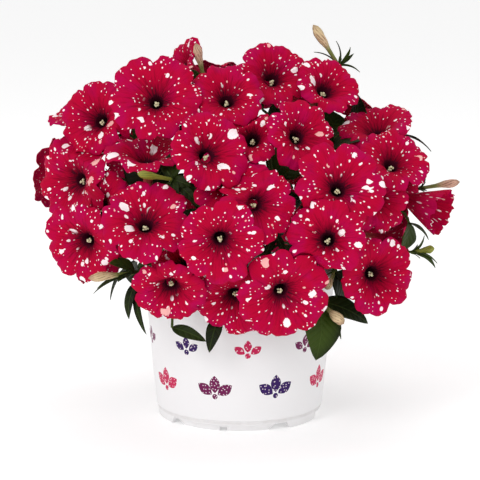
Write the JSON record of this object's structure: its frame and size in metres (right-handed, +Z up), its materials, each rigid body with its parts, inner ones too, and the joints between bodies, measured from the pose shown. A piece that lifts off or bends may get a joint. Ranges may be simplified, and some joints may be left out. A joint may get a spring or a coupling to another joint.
{
  "type": "potted petunia",
  "caption": "Potted petunia: a white plastic pot of soil with a dense dome of crimson trumpet blooms spotted white, over leafy branching stems.",
  "frame": {"origin": "centre of the pot's foot, on the ground it stands on", "axes": "+Z up, -Y towards the side seen in the picture, +X to that viewer's right"},
  "size_m": [0.3145, 0.2681, 0.2883],
  "materials": {
    "pot": "smooth white polypropylene, slightly glossy, with a printed purple and pink sprig design",
    "soil": "dark moist potting mix of peat and bark crumbs",
    "petals": "velvety crimson petals with white spots and a near black throat",
    "greenery": "soft, finely hairy dark green leaves and stems with cream buds"
  },
  "bodies": {
    "root": {"pot": "pot", "soil": "soil", "bloom_1": "petals", "bloom_2": "petals", "bloom_3": "petals", "bloom_4": "petals", "bloom_5": "petals", "bloom_6": "petals", "bloom_7": "petals", "bloom_8": "petals", "bloom_9": "petals", "bloom_10": "petals", "bloom_11": "petals", "bloom_12": "petals", "bloom_13": "petals", "bloom_14": "petals", "bloom_15": "petals", "bloom_16": "petals", "bloom_17": "petals", "bloom_18": "petals", "bloom_19": "petals", "bloom_20": "petals", "bloom_21": "petals", "bloom_22": "petals", "bloom_23": "petals", "bloom_24": "petals", "bloom_25": "petals", "bloom_26": "petals", "bloom_27": "petals", "bloom_28": "petals", "bloom_29": "petals", "bloom_30": "petals", "bloom_31": "petals", "bloom_32": "petals", "bloom_33": "petals", "bloom_34": "petals", "bloom_35": "petals", "bloom_36": "petals", "bloom_37": "petals", "bloom_38": "petals", "bloom_39": "petals", "bloom_40": "petals", "bloom_41": "petals", "bloom_42": "petals", "bloom_43": "petals", "bloom_44": "petals", "bloom_45": "petals", "bloom_46": "petals", "bloom_47": "petals", "bloom_48": "petals", "bloom_49": "petals", "bloom_50": "petals", "stem_1": "greenery", "stem_2": "greenery", "stem_3": "greenery", "stem_4": "greenery", "stem_5": "greenery", "stem_6": "greenery", "stem_7": "greenery", "stem_8": "greenery"}
  },
  "joints": []
}
